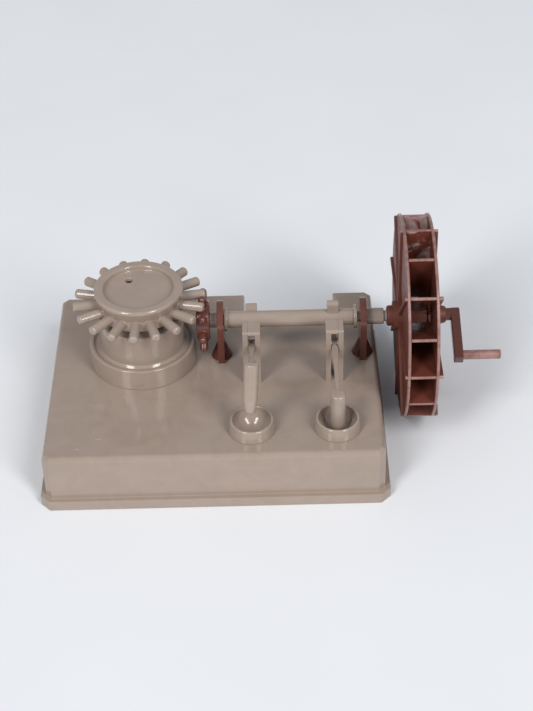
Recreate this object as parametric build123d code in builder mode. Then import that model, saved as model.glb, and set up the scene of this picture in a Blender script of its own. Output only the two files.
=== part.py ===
from build123d import *
from math import cos, hypot, radians, sin
import os

# A hand-cranked water-wheel mill: the crank turns a water wheel and its shaft along X. A peg gear
# on the shaft turns a horizontal pin wheel on a mill, and two cam bars lift two trip hammers.
# Origin: middle of the base, on the surface it stands on. X runs along the shaft to the wheel,
# Y runs to the back and Z up. Every length is in millimetres and every angle in degrees.

os.makedirs("parts", exist_ok=True)

# Fits
running_fit = 0.08  # radial room of a pin or axle that turns in a bore
fixed_fit = 0.03  # room around a tenon, spigot or pin that is cemented in
seat_play = 0.15  # side room between a turning face and a standing one

# Base housing
base_length = 123.0
base_depth = 97.0
base_height = 22.2
base_wall = 2.0
flange_height = 4.0
flange_step = 2.0
flange_corner = 3.4
wall_corner = 2.9
top_edge_radius = 1.85
notch_width = 34.0
notch_depth = 13.5
notch_centre_x = 27.8

# Water wheel, which sets how high the shaft runs
wheel_radius = 36.9
wheel_ground_gap = 1.35
wheel_base_gap = 6.2
wheel_angle = -1.0
rim_depth = 24.4
rim_thickness = 1.1
spoke_count = 8
spoke_width = 1.5
spoke_stand_out_left = 0.9
spoke_stand_out_right = 1.4
paddle_length = 8.8
paddle_count = 16
paddle_thickness = 1.1
paddle_inner_radius = 13.0
hub_radius = 3.75
hub_neck_length = 4.0
hub_edge = 0.9
hub_flange_radius = 5.4
hub_flange_thickness = 1.8
outer_hub_radius = 4.4
outer_hub_length = 5.5
outer_hub_tip_radius = 2.9

# Shaft line
shaft_y = 9.37
shaft_radius = 3.0
axle_radius = 2.0
collar_radius = 4.3
collar_thickness = 1.2
collar_gap_left = 0.25
collar_gap_right = 1.05
spacer_radius_left = 2.8
spacer_length_left = 2.5
spacer_radius_right = 2.95
spacer_wheel_gap = 1.1

# Uprights that carry the shaft
upright_inset = 7.3
bearing_spacing = 51.7
upright_thickness = 2.3
upright_head_radius = 7.0
upright_foot_width = 11.0
foot_cone_radius = 3.9
foot_cone_height = 8.6
foot_cone_tip = 0.5
tenon_share = 0.55

# Peg gear and the pin wheel it drives
peg_count = 8
peg_radius = 1.5
peg_overlap = 1.95
peg_angle = 7.5
gear_thickness = 4.8
gear_edge_radius = 0.6
gear_pin_gap = 0.8
pin_count = 18
pin_radius = 1.75
pin_overlap = 1.3
pin_angle = 7.6
pin_rise = 9.65
mesh_distance = 22.6

# Mill
basin_radius = 19.6
basin_height = 8.1
basin_rim_width = 1.2
basin_rim_height = 1.0
basin_draft = 0.3
mill_wall = 2.0
rim_rounding = 0.35  # edge radius of a thin rim as a share of its width
bedstone_radius = 15.4
bedstone_edge = 0.8
neck_radius = 9.0
neck_height = 2.4
pin_wheel_gap = 0.2
pin_wheel_radius = 14.6
pin_wheel_flare = 1.4
pin_wheel_drop = 3.1
pin_wheel_flank = 4.2
pin_wheel_height = 9.4
pin_wheel_wall = 1.9
dish_radius = 12.35
dish_slope = 0.5
dish_depth = 1.4
dish_edge = 0.65
feed_hole_radius = 1.35
feed_hole_distance = 7.3
feed_hole_angle = 121.0
spindle_radius = 2.0
spindle_head_radius = 3.6
spindle_head_thickness = 1.6
spindle_tip_chamfer = 0.5
mill_hub_wall = 2.2

# Cam bars
cam_reach = 7.3
cam_width = 4.2
cam_thickness = 2.9
cam_angle_left = 10.0
cam_angle_right = 90.0

# Gates and hammers
gate_offset = 11.25
gate_spacing = 29.55
gate_wall = 1.85
gate_gap = 2.6
gate_depth = 7.35
gate_roof_rise = 6.75
gate_roof_thickness = 1.3
gate_corner = 0.8
pivot_setback = 13.37
pivot_drop = 1.75
pivot_radius = 1.1
pivot_boss_radius = 2.2
pivot_boss_height = 0.45
hammer_play = 0.05
hammer_tail_gap = 0.35
hammer_rest_angle = 23.5
lever_depth = 2.5
lever_above_pivot = 1.3
lever_width = 1.4
lever_hub_radius = 2.3
lever_shoulder_width = 2.3
lever_shoulder_start = 2.6
lever_shoulder_end = 8.5
lever_taper_length = 5.0
lever_tail_edge = 0.8
pestle_radius = 2.65
pestle_foot_radius = 1.8
pestle_taper_length = 5.5
pestle_top_edge = 0.5
pestle_foot_edge = 0.8
pestle_socket_reach = 1.5
pestle_foot_drop = 1.6  # how far a lowered pestle's foot is under the top of the base
pestle_lean_left = 3.5  # sideways lean of the left pestle in its loose socket

# Mortars
mortar_offset = 10.75
mortar_spacing = 30.0
mortar_inset = 15.7
mortar_pestle_offset = 0.8
mortar_foot_radius = 8.3
mortar_rim_radius = 7.6
mortar_rim_width = 0.9
mortar_height = 4.7
mortar_bowl_lip = 0.5
mortar_floor_wall = 1.1
mortar_spigot_inset = 0.4

# Crank
crank_neck_radius = 2.3
crank_neck_length = 1.7
crank_arm_thickness = 3.4
crank_arm_width = 3.7
crank_arm_reach = 19.7
crank_throw = 17.4
crank_angle = 20.0
crank_edge = 0.5
crank_spigot_length = 5.0
handle_radius = 1.7
handle_length = 13.4
handle_spigot_radius = 1.1

# Places along X, worked out from the right edge of the base to the left
base_right_x = base_length / 2
upright_right_x = base_right_x - upright_inset
upright_left_x = upright_right_x - bearing_spacing
half_plate = upright_thickness / 2
tube_left_x = upright_left_x + half_plate + collar_gap_left
tube_right_x = upright_right_x - half_plate - collar_gap_right
spacer_left_end_x = upright_left_x - half_plate - seat_play
gear_right_x = spacer_left_end_x - spacer_length_left
gear_left_x = gear_right_x - gear_thickness
peg_plane_x = gear_right_x - gear_thickness / 2
mill_x = peg_plane_x - mesh_distance
gate_left_x = upright_left_x + gate_offset
gate_right_x = gate_left_x + gate_spacing
mortar_left_x = upright_left_x + mortar_offset
mortar_right_x = mortar_left_x + mortar_spacing

# Places along X of the water wheel and crank, worked out from the base to the right
rim_left_x = base_right_x + wheel_base_gap
paddle_left_x = rim_left_x + rim_thickness
rim_right_x = paddle_left_x + paddle_length
rim_outer_x = rim_right_x + rim_thickness
spoke_left_x = rim_left_x - spoke_stand_out_left
spoke_right_x = rim_outer_x + spoke_stand_out_right
hub_left_x = spoke_left_x - hub_neck_length
hub_right_x = rim_outer_x + outer_hub_length
spacer_right_start_x = upright_right_x + half_plate + seat_play
spacer_right_end_x = hub_left_x - spacer_wheel_gap
crank_arm_x = hub_right_x + crank_neck_length
crank_spigot_x = hub_right_x - crank_spigot_length

# Heights
shaft_z = wheel_radius + wheel_ground_gap
plate_z = base_height - base_wall
upright_height = shaft_z - base_height
pin_z = shaft_z + pin_rise
peg_reach = pin_rise + peg_overlap
pin_reach = mesh_distance + pin_overlap
gear_radius = pin_rise - pin_radius - gear_pin_gap
basin_top_z = base_height + basin_height
trough_z = basin_top_z - basin_rim_height
pin_wheel_z = pin_z - pin_wheel_drop
neck_top_z = pin_wheel_z - pin_wheel_gap
bedstone_top_z = neck_top_z - neck_height
pin_wheel_top_z = pin_wheel_z + pin_wheel_height
dish_z = pin_wheel_top_z - dish_depth
ceiling_z = dish_z - pin_wheel_wall
gate_top_z = shaft_z + gate_roof_rise
pivot_z = shaft_z - pivot_drop

# Places along Y
pivot_y = shaft_y - pivot_setback
mortar_y = -base_depth / 2 + mortar_inset
hammer_reach = pivot_y - mortar_y + mortar_pestle_offset
hammer_tail_reach = hypot(pivot_setback, pivot_drop) - cam_reach - hammer_tail_gap

# Sizes that follow from their neighbours
gate_width = gate_gap + 2 * gate_wall
pivot_boss_gap = gate_gap - 2 * pivot_boss_height
lever_hub_width = pivot_boss_gap - 2 * hammer_play
mortar_bowl_radius = mortar_rim_radius - mortar_rim_width
mortar_spigot_radius = mortar_bowl_radius - mortar_spigot_inset
pestle_length = pivot_z + lever_above_pivot - base_height + pestle_foot_drop
upright_tenon_width = upright_foot_width * tenon_share
gate_tenon_width = gate_depth * tenon_share

START = (Align.CENTER, Align.CENTER, Align.MIN)
FROM_LEFT = (Align.MIN, Align.CENTER)
FIRST_PEG_ANGLE = 90 + peg_angle


def across_shaft(x, turn=0.0):
    """Plane across the shaft at x: local Z is along the shaft, local X points turn degrees up."""
    direction = (0, cos(radians(turn)), sin(radians(turn)))
    return Plane(origin=(x, shaft_y, shaft_z), x_dir=direction, z_dir=(1, 0, 0))


def turned_about(x, y):
    """Profile plane of a piece turned about a vertical line: local X is the radius, local Y is Z."""
    return Plane(origin=(x, y, 0), x_dir=(1, 0, 0), z_dir=(0, -1, 0))


def upright_axis(x, y):
    """Vertical line through x and y."""
    return Axis((x, y, 0), (0, 0, 1))


def hammer_side(x, lift):
    """Side plane of a hammer at x: local X runs to the pestle, local Y up, lift degrees raised."""
    forward = (0, -cos(radians(lift)), sin(radians(lift)))
    return Plane(origin=(x, pivot_y, pivot_z), x_dir=forward, z_dir=(-1, 0, 0))


def shaft_cylinder(radius, x_from, x_to, mode=Mode.ADD):
    """Round length of the shaft line from x_from to x_to, in the part being built."""
    with Locations(across_shaft(x_from)):
        Cylinder(radius, x_to - x_from, align=START, mode=mode)


def corner(sketch, x, y):
    """Corner of a sketch nearest to x and y on its own plane."""
    return sketch.vertices().sort_by_distance((x, y, 0))[0]


def save(builder, name):
    """Label a finished piece and write it to its own file."""
    builder.part.label = name
    export_step(builder.part, f"parts/{name}.step")


# Base housing: an open-bottomed tray with holes in its top for the tenons, spigots and spindle
wall_length = base_length - 2 * flange_step
wall_depth = base_depth - 2 * flange_step
notch_front_y = base_depth / 2 - notch_depth - flange_step
SOCKET_PLANE = Plane.XY.offset(plate_z)

with BuildSketch() as wall_outline:
    Rectangle(wall_length, wall_depth)
    chamfer(wall_outline.vertices(), length=wall_corner)
    with Locations((notch_centre_x, notch_front_y)):
        Rectangle(notch_width, wall_depth, align=(Align.CENTER, Align.MIN), mode=Mode.SUBTRACT)

with BuildSketch() as flange_outline:
    Rectangle(base_length, base_depth)
    chamfer(flange_outline.vertices(), length=flange_corner)
    with Locations((notch_centre_x, notch_front_y + flange_step)):
        flange_notch = notch_width - 2 * flange_step
        Rectangle(flange_notch, base_depth, align=(Align.CENTER, Align.MIN), mode=Mode.SUBTRACT)

with BuildSketch() as hollow_outline:
    add(wall_outline.sketch)
    offset(amount=-base_wall, kind=Kind.INTERSECTION, mode=Mode.REPLACE)

with BuildPart() as base_housing:
    extrude(wall_outline.sketch, amount=base_height)
    fillet(base_housing.faces().sort_by(Axis.Z)[-1].edges(), radius=top_edge_radius)
    extrude(flange_outline.sketch, amount=flange_height)
    extrude(hollow_outline.sketch, amount=plate_z, mode=Mode.SUBTRACT)
    with BuildSketch(SOCKET_PLANE):
        with Locations((mill_x, shaft_y)):
            Circle(spindle_radius + fixed_fit)
        with Locations((mortar_left_x, mortar_y), (mortar_right_x, mortar_y)):
            Circle(mortar_spigot_radius + fixed_fit)
        with Locations((upright_left_x, shaft_y), (upright_right_x, shaft_y)):
            Rectangle(upright_thickness + 2 * fixed_fit, upright_tenon_width + 2 * fixed_fit)
        for gate_x in (gate_left_x, gate_right_x):
            for leg_side in (-1, 1):
                with Locations((gate_x + leg_side * (gate_gap + gate_wall) / 2, pivot_y)):
                    Rectangle(gate_wall + 2 * fixed_fit, gate_tenon_width + 2 * fixed_fit)
    extrude(amount=base_wall, mode=Mode.SUBTRACT)
save(base_housing, "base_housing")


# Mill: basin, fixed lower stone, headed spindle from below, and the pin wheel that turns on it
MILL_AXIS = upright_axis(mill_x, shaft_y)
basin_inner_radius = basin_radius - basin_draft - basin_rim_width

with BuildPart() as mill_basin:
    with BuildSketch(turned_about(mill_x, shaft_y)) as basin_profile:
        with BuildLine():
            Polyline(
                (spindle_radius + fixed_fit, trough_z),
                (basin_inner_radius - basin_rim_height, trough_z),
                (basin_inner_radius, basin_top_z),
                (basin_radius - basin_draft, basin_top_z),
                (basin_radius, base_height),
                (basin_radius - mill_wall, base_height),
                (basin_radius - mill_wall, trough_z - mill_wall),
                (spindle_radius + fixed_fit, trough_z - mill_wall),
                close=True,
            )
        make_face()
        fillet(basin_profile.vertices().group_by(Axis.Y)[-1], radius=basin_rim_width * rim_rounding)
    revolve(axis=MILL_AXIS)
save(mill_basin, "mill_basin")

mill_hub_radius = spindle_radius + mill_hub_wall

with BuildPart() as mill_bedstone:
    with BuildSketch(turned_about(mill_x, shaft_y)) as stone_profile:
        with BuildLine():
            Polyline(
                (spindle_radius + fixed_fit, trough_z),
                (mill_hub_radius, trough_z),
                (mill_hub_radius, bedstone_top_z - mill_wall),
                (bedstone_radius - mill_wall, bedstone_top_z - mill_wall),
                (bedstone_radius - mill_wall, trough_z),
                (bedstone_radius + bedstone_edge, trough_z),
                (bedstone_radius, trough_z + bedstone_edge),
                (bedstone_radius, bedstone_top_z),
                (neck_radius, bedstone_top_z),
                (neck_radius, neck_top_z),
                (spindle_radius + fixed_fit, neck_top_z),
                close=True,
            )
        make_face()
        fillet(corner(stone_profile, bedstone_radius, bedstone_top_z), radius=bedstone_edge)
    revolve(axis=MILL_AXIS)
save(mill_bedstone, "mill_bedstone")

with BuildPart() as mill_spindle:
    with Locations((mill_x, shaft_y, plate_z - spindle_head_thickness)):
        Cylinder(spindle_head_radius, spindle_head_thickness, align=START)
        Cylinder(spindle_radius, ceiling_z - seat_play - plate_z + spindle_head_thickness, align=START)
    chamfer(mill_spindle.edges().sort_by(Axis.Z)[-1], length=spindle_tip_chamfer)
save(mill_spindle, "mill_spindle")

with BuildPart() as mill_pin_wheel:
    with BuildSketch(turned_about(mill_x, shaft_y)) as wheel_profile:
        with BuildLine():
            Polyline(
                (spindle_radius + running_fit, pin_wheel_z),
                (mill_hub_radius, pin_wheel_z),
                (mill_hub_radius, ceiling_z),
                (pin_wheel_radius - pin_wheel_wall, ceiling_z),
                (pin_wheel_radius - pin_wheel_wall, pin_wheel_z),
                (pin_wheel_radius, pin_wheel_z),
                (pin_wheel_radius, pin_wheel_z + pin_wheel_flank),
                (pin_wheel_radius + pin_wheel_flare, dish_z),
                (pin_wheel_radius + pin_wheel_flare, pin_wheel_top_z),
                (dish_radius + dish_slope, pin_wheel_top_z),
                (dish_radius, dish_z),
                (0, dish_z),
                (0, ceiling_z),
                (spindle_radius + running_fit, ceiling_z),
                close=True,
            )
        make_face()
        fillet(wheel_profile.vertices().group_by(Axis.Y)[-1], radius=dish_edge)
    revolve(axis=MILL_AXIS)
    pin_start = pin_wheel_radius - pin_wheel_wall / 2
    with Locations(Location((mill_x, shaft_y, pin_z))):
        with PolarLocations(pin_start, pin_count, start_angle=pin_angle):
            pin_length = pin_reach - pin_radius - pin_start
            Cylinder(pin_radius, pin_length, rotation=(0, 90, 0), align=START)
        with PolarLocations(pin_reach - pin_radius, pin_count, start_angle=pin_angle):
            Sphere(pin_radius)
    hole_x = mill_x + feed_hole_distance * cos(radians(feed_hole_angle))
    hole_y = shaft_y + feed_hole_distance * sin(radians(feed_hole_angle))
    with Locations((hole_x, hole_y, ceiling_z)):
        Cylinder(feed_hole_radius, pin_wheel_wall, align=START, mode=Mode.SUBTRACT)
save(mill_pin_wheel, "mill_pin_wheel")


# Uprights: a plate with a round head for the shaft, a cone around its foot and a tenon
def make_upright(x):
    """Upright whose plate is centred on x."""
    with BuildPart() as upright:
        with BuildSketch(across_shaft(x)) as outline:
            Circle(upright_head_radius)
            with BuildLine():
                Polyline(
                    (-upright_head_radius, 0),
                    (-upright_foot_width / 2, -upright_height),
                    (-upright_tenon_width / 2, -upright_height),
                    (-upright_tenon_width / 2, -upright_height - base_wall),
                    (upright_tenon_width / 2, -upright_height - base_wall),
                    (upright_tenon_width / 2, -upright_height),
                    (upright_foot_width / 2, -upright_height),
                    (upright_head_radius, 0),
                    close=True,
                )
            make_face()
        extrude(outline.sketch, amount=half_plate, both=True)
        with Locations((x, shaft_y, base_height)):
            Cone(foot_cone_radius, foot_cone_tip, foot_cone_height, align=START)
        shaft_cylinder(axle_radius + running_fit, x - half_plate, x + half_plate, Mode.SUBTRACT)
    return upright


save(make_upright(upright_left_x), "upright_left")
save(make_upright(upright_right_x), "upright_right")


# Gates: a roofed pair of legs, in two pieces each, around the hammer's pivot pin
def make_gate_leg(x_inner, side, roof_length):
    """Leg whose inner face is at x_inner, standing to its side, with a roof of roof_length."""
    leg_x = x_inner + side * gate_wall / 2
    with BuildPart() as leg:
        with BuildSketch(Plane.YZ.offset(leg_x)) as outline:
            with Locations((pivot_y, base_height)):
                Rectangle(gate_depth, gate_top_z - base_height, align=(Align.CENTER, Align.MIN))
            fillet(outline.vertices().group_by(Axis.Y)[-1], radius=gate_corner)
            with Locations((pivot_y, plate_z)):
                Rectangle(gate_tenon_width, base_wall, align=(Align.CENTER, Align.MIN))
        extrude(outline.sketch, amount=gate_wall / 2, both=True)
        if roof_length:
            with BuildSketch(Plane.YZ.offset(x_inner)) as roof:
                with Locations((pivot_y, gate_top_z)):
                    Rectangle(gate_depth, gate_roof_thickness, align=(Align.CENTER, Align.MAX))
                fillet(roof.vertices().group_by(Axis.Y)[-1], radius=gate_corner)
            extrude(roof.sketch, amount=-side * roof_length)
        boss_end_x = x_inner - side * pivot_boss_height
        with BuildSketch(Plane(origin=(x_inner, pivot_y, pivot_z), z_dir=(1, 0, 0))) as boss:
            Circle(pivot_boss_radius)
        extrude(boss.sketch, amount=boss_end_x - x_inner)
        outer_x = x_inner + side * gate_wall
        with BuildSketch(Plane(origin=(outer_x, pivot_y, pivot_z), z_dir=(1, 0, 0))) as bore:
            Circle(pivot_radius + fixed_fit)
        extrude(bore.sketch, amount=boss_end_x - outer_x, mode=Mode.SUBTRACT)
    return leg


def make_pivot(x):
    """Pin through both legs of the gate at x."""
    with BuildPart() as pivot:
        with Locations(Plane(origin=(x - gate_width / 2, pivot_y, pivot_z), z_dir=(1, 0, 0))):
            Cylinder(pivot_radius, gate_width, align=START)
    return pivot


for side_name, gate_x, cheek_side in (("left", gate_left_x, -1), ("right", gate_right_x, 1)):
    roof_reach = gate_gap - fixed_fit
    frame_inner_x = gate_x - cheek_side * gate_gap / 2
    cheek_inner_x = gate_x + cheek_side * gate_gap / 2
    save(make_gate_leg(frame_inner_x, -cheek_side, roof_reach), f"gate_frame_{side_name}")
    save(make_gate_leg(cheek_inner_x, cheek_side, 0), f"gate_cheek_{side_name}")
    save(make_pivot(gate_x), f"hammer_pivot_{side_name}")


# Hammers: a lever on the pivot pin with a pestle socketed on its front end
def make_lever(x, lift):
    """Hammer lever at x, lift degrees above its lowered place."""
    side = hammer_side(x, lift)
    lever_low = lever_above_pivot - lever_depth
    lever_end = hammer_reach + pestle_socket_reach
    taper_end = lever_shoulder_end + lever_taper_length
    underside = Plane(side.from_local_coords((0, lever_low, 0)), x_dir=side.x_dir, z_dir=side.y_dir)
    tail = side.from_local_coords((-hammer_tail_reach, lever_low + lever_depth / 2, 0))
    with BuildPart() as lever:
        with BuildSketch(underside) as plan:
            with BuildLine() as half_plan:
                Polyline(
                    (-hammer_tail_reach, 0),
                    (-hammer_tail_reach, lever_hub_width / 2),
                    (lever_shoulder_start, lever_hub_width / 2),
                    (lever_shoulder_start, lever_shoulder_width / 2),
                    (lever_shoulder_end, lever_shoulder_width / 2),
                    (taper_end, lever_width / 2),
                    (lever_end, lever_width / 2),
                    (lever_end, 0),
                )
                mirror(half_plan.line, about=Plane.XZ)
            make_face()
        extrude(plan.sketch, amount=lever_depth)
        tail_edges = lever.edges().filter_by(Axis.X).sort_by_distance(tail)[:2]
        fillet(tail_edges, radius=lever_tail_edge)
        with BuildSketch(side) as hub:
            Circle(lever_hub_radius)
        extrude(hub.sketch, amount=lever_hub_width / 2, both=True)
        with BuildSketch(side) as bore:
            Circle(pivot_radius + running_fit)
        extrude(bore.sketch, amount=gate_width, both=True, mode=Mode.SUBTRACT)
    return lever


def make_pestle(x, lift, lean):
    """Pestle on the lever at x, with its foot swung lean degrees to -X in its loose socket."""
    side = hammer_side(x, lift)
    centre = side.from_local_coords((hammer_reach, 0, 0))
    up = side.y_dir.rotate(Axis((0, 0, 0), side.x_dir), -lean)
    leaned = Plane(centre, x_dir=side.x_dir, z_dir=side.x_dir.cross(up))
    foot = lever_above_pivot - pestle_length
    taper_top = foot + pestle_taper_length
    with BuildPart() as pestle:
        with BuildSketch(leaned) as profile:
            with BuildLine():
                Polyline(
                    (pestle_foot_radius, foot),
                    (0, foot),
                    (0, lever_above_pivot),
                    (pestle_radius, lever_above_pivot),
                    (pestle_radius, taper_top),
                )
                TangentArc((pestle_radius, taper_top), (pestle_foot_radius, foot), tangent=(0, -1))
            make_face()
            fillet(corner(profile, pestle_foot_radius, foot), radius=pestle_foot_edge)
            fillet(corner(profile, pestle_radius, lever_above_pivot), radius=pestle_top_edge)
        revolve(profile.sketch, axis=Axis(centre, leaned.y_dir))
        socket_end = hammer_reach + pestle_socket_reach + fixed_fit
        socket_floor = lever_above_pivot - lever_depth - fixed_fit
        with BuildSketch(side) as socket:
            with Locations((socket_end, socket_floor)):
                Rectangle(
                    pestle_socket_reach + 2 * pestle_radius,
                    2 * lever_depth,
                    align=(Align.MAX, Align.MIN),
                )
        extrude(socket.sketch, amount=lever_width / 2 + fixed_fit, both=True, mode=Mode.SUBTRACT)
    return pestle


HAMMERS = (
    ("left", gate_left_x, hammer_rest_angle, pestle_lean_left),
    ("right", gate_right_x, 0.0, 0.0),
)

for side_name, gate_x, lift, lean in HAMMERS:
    save(make_lever(gate_x, lift), f"hammer_lever_{side_name}")
    save(make_pestle(gate_x, lift, lean), f"pestle_{side_name}")


# Mortars: round-bowled cups whose spigots fill holes in the base
def make_mortar(x):
    """Mortar standing at x in front of its gate."""
    rim_z = base_height + mortar_height
    bowl_z = rim_z - mortar_bowl_lip
    bowl_floor_z = bowl_z - mortar_bowl_radius
    with BuildPart() as mortar:
        with BuildSketch(turned_about(x, mortar_y)) as profile:
            with BuildLine():
                Polyline(
                    (0, bowl_floor_z),
                    (0, bowl_floor_z - mortar_floor_wall),
                    (mortar_spigot_radius, bowl_floor_z - mortar_floor_wall),
                    (mortar_spigot_radius, base_height),
                    (mortar_foot_radius, base_height),
                    (mortar_rim_radius, rim_z),
                    (mortar_bowl_radius, rim_z),
                    (mortar_bowl_radius, bowl_z),
                )
                RadiusArc((mortar_bowl_radius, bowl_z), (0, bowl_floor_z), mortar_bowl_radius)
            make_face()
            fillet(profile.vertices().group_by(Axis.Y)[-1], radius=mortar_rim_width * rim_rounding)
        revolve(profile.sketch, axis=upright_axis(x, mortar_y))
    return mortar


save(make_mortar(mortar_left_x), "mortar_left")
save(make_mortar(mortar_right_x), "mortar_right")


# Shaft line: the shaft with its collars and axle ends, cam bars, peg gear and spacers
CAM_BARS = (("left", gate_left_x, cam_angle_left), ("right", gate_right_x, cam_angle_right))

with BuildPart() as camshaft:
    shaft_cylinder(axle_radius, gear_left_x, crank_spigot_x - fixed_fit)
    shaft_cylinder(shaft_radius, tube_left_x, tube_right_x)
    shaft_cylinder(collar_radius, tube_left_x, tube_left_x + collar_thickness)
    shaft_cylinder(collar_radius, tube_right_x - collar_thickness, tube_right_x)
    for side_name, cam_x, turn in CAM_BARS:
        with BuildSketch(across_shaft(cam_x, turn)) as slot:
            Rectangle(2 * cam_reach, cam_thickness + 2 * fixed_fit)
        extrude(slot.sketch, amount=cam_width / 2 + fixed_fit, both=True, mode=Mode.SUBTRACT)
save(camshaft, "camshaft")

for side_name, cam_x, turn in CAM_BARS:
    with BuildPart() as cam_bar:
        with BuildSketch(across_shaft(cam_x, turn)) as outline:
            SlotOverall(2 * cam_reach, cam_thickness)
        extrude(outline.sketch, amount=cam_width / 2, both=True)
    save(cam_bar, f"cam_bar_{side_name}")

with BuildPart() as peg_gear:
    shaft_cylinder(gear_radius, gear_left_x, gear_right_x)
    fillet(peg_gear.edges().filter_by(GeomType.CIRCLE), radius=gear_edge_radius)
    with Locations(across_shaft(peg_plane_x)):
        with PolarLocations(0, peg_count, start_angle=FIRST_PEG_ANGLE):
            Cylinder(peg_radius, peg_reach - peg_radius, rotation=(0, 90, 0), align=START)
        with PolarLocations(peg_reach - peg_radius, peg_count, start_angle=FIRST_PEG_ANGLE):
            Sphere(peg_radius)
    shaft_cylinder(axle_radius + fixed_fit, gear_left_x, gear_right_x, Mode.SUBTRACT)
save(peg_gear, "peg_gear")

with BuildPart() as shaft_spacer_left:
    shaft_cylinder(spacer_radius_left, gear_right_x, spacer_left_end_x)
    shaft_cylinder(axle_radius + fixed_fit, gear_right_x, spacer_left_end_x, Mode.SUBTRACT)
save(shaft_spacer_left, "shaft_spacer_left")

with BuildPart() as shaft_spacer_right:
    shaft_cylinder(spacer_radius_right, spacer_right_start_x, spacer_right_end_x)
    shaft_cylinder(axle_radius + fixed_fit, spacer_right_start_x, spacer_right_end_x, Mode.SUBTRACT)
save(shaft_spacer_right, "shaft_spacer_right")


# Water wheel: two spoked rims with hubs, and boards between them
def make_wheel_side(rim_x, spoke_from, spoke_to):
    """Rim whose left face is at rim_x, with spokes from spoke_from to spoke_to along X."""
    with BuildPart() as wheel_side:
        shaft_cylinder(wheel_radius, rim_x, rim_x + rim_thickness)
        shaft_cylinder(wheel_radius - rim_depth, rim_x, rim_x + rim_thickness, Mode.SUBTRACT)
        spoke_end = wheel_radius - spoke_width / 2
        with BuildSketch(across_shaft(spoke_from)) as spokes:
            with PolarLocations(0, spoke_count, start_angle=wheel_angle):
                Rectangle(spoke_end, spoke_width, align=FROM_LEFT)
            with PolarLocations(spoke_end, spoke_count, start_angle=wheel_angle):
                Circle(spoke_width / 2)
        extrude(spokes.sketch, amount=spoke_to - spoke_from)
    return wheel_side


inner_side = make_wheel_side(rim_left_x, spoke_left_x, paddle_left_x)
with BuildPart() as wheel_side_left:
    add(inner_side.part)
    shaft_cylinder(hub_radius, hub_left_x, rim_right_x - fixed_fit)
    shaft_cylinder(hub_flange_radius, spoke_left_x - hub_flange_thickness, paddle_left_x)
    hub_end = wheel_side_left.edges().filter_by(GeomType.CIRCLE).sort_by(Axis.X)[0]
    fillet(hub_end, radius=hub_edge)
    shaft_cylinder(axle_radius + fixed_fit, hub_left_x, rim_right_x, Mode.SUBTRACT)
save(wheel_side_left, "wheel_side_left")

outer_side = make_wheel_side(rim_right_x, rim_right_x, spoke_right_x)
with BuildPart() as wheel_side_right:
    add(outer_side.part)
    shaft_cylinder(outer_hub_radius, rim_right_x, rim_outer_x)
    with Locations(across_shaft(rim_outer_x)):
        Cone(outer_hub_radius, outer_hub_tip_radius, outer_hub_length, align=START)
    shaft_cylinder(axle_radius + fixed_fit, rim_right_x, hub_right_x, Mode.SUBTRACT)
save(wheel_side_right, "wheel_side_right")

for paddle_number in range(paddle_count):
    turn = wheel_angle + 360 / paddle_count * paddle_number
    paddle_depth = wheel_radius - paddle_inner_radius
    with BuildPart() as paddle:
        with BuildSketch(across_shaft(paddle_left_x + fixed_fit, turn)) as board:
            with Locations((paddle_inner_radius, 0)):
                Rectangle(paddle_depth, paddle_thickness, align=FROM_LEFT)
        extrude(board.sketch, amount=paddle_length - 2 * fixed_fit)
    save(paddle, f"paddle_{paddle_number + 1:02d}")


# Crank: an arm with a spigot in the wheel's hub, and a pin for the hand
crank_turn = 180 + crank_angle
crank_end_x = crank_arm_x + crank_arm_thickness

with BuildPart() as crank_arm:
    with BuildSketch(across_shaft(crank_arm_x, crank_turn)) as bar:
        with Locations((-crank_arm_width / 2, 0)):
            Rectangle(crank_arm_reach + crank_arm_width / 2, crank_arm_width, align=FROM_LEFT)
        fillet(bar.vertices(), radius=crank_edge)
    extrude(bar.sketch, amount=crank_arm_thickness)
    shaft_cylinder(crank_neck_radius, hub_right_x, crank_arm_x)
    shaft_cylinder(axle_radius, crank_spigot_x, hub_right_x)
    with Locations(across_shaft(crank_arm_x, crank_turn)):
        with Locations((crank_throw, 0)):
            Cylinder(handle_spigot_radius + fixed_fit, crank_arm_thickness, align=START, mode=Mode.SUBTRACT)
save(crank_arm, "crank_arm")

with BuildPart() as crank_handle:
    with Locations(across_shaft(crank_arm_x, crank_turn)):
        with Locations((crank_throw, 0)):
            Cylinder(handle_spigot_radius, crank_arm_thickness, align=START)
    with Locations(across_shaft(crank_end_x, crank_turn)):
        with Locations((crank_throw, 0)):
            Cylinder(handle_radius, handle_length, align=START)
    fillet(crank_handle.edges().sort_by(Axis.X)[-1], radius=crank_edge)
save(crank_handle, "crank_handle")
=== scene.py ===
"""Looks of a hand-cranked water-wheel mill in glossy moulded plastic, built around its CAD frame.

Lengths are written in millimetres, as on a drawing, and turned to Blender's metres once, where
each mesh is made. X runs along the shaft to the water wheel, Y to the back and Z up.
"""

import cmath
import logging
import math
from collections.abc import Sequence
from dataclasses import dataclass, field
from enum import Enum

import bmesh
import bpy
from mathutils import Euler, Matrix, Vector


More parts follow.
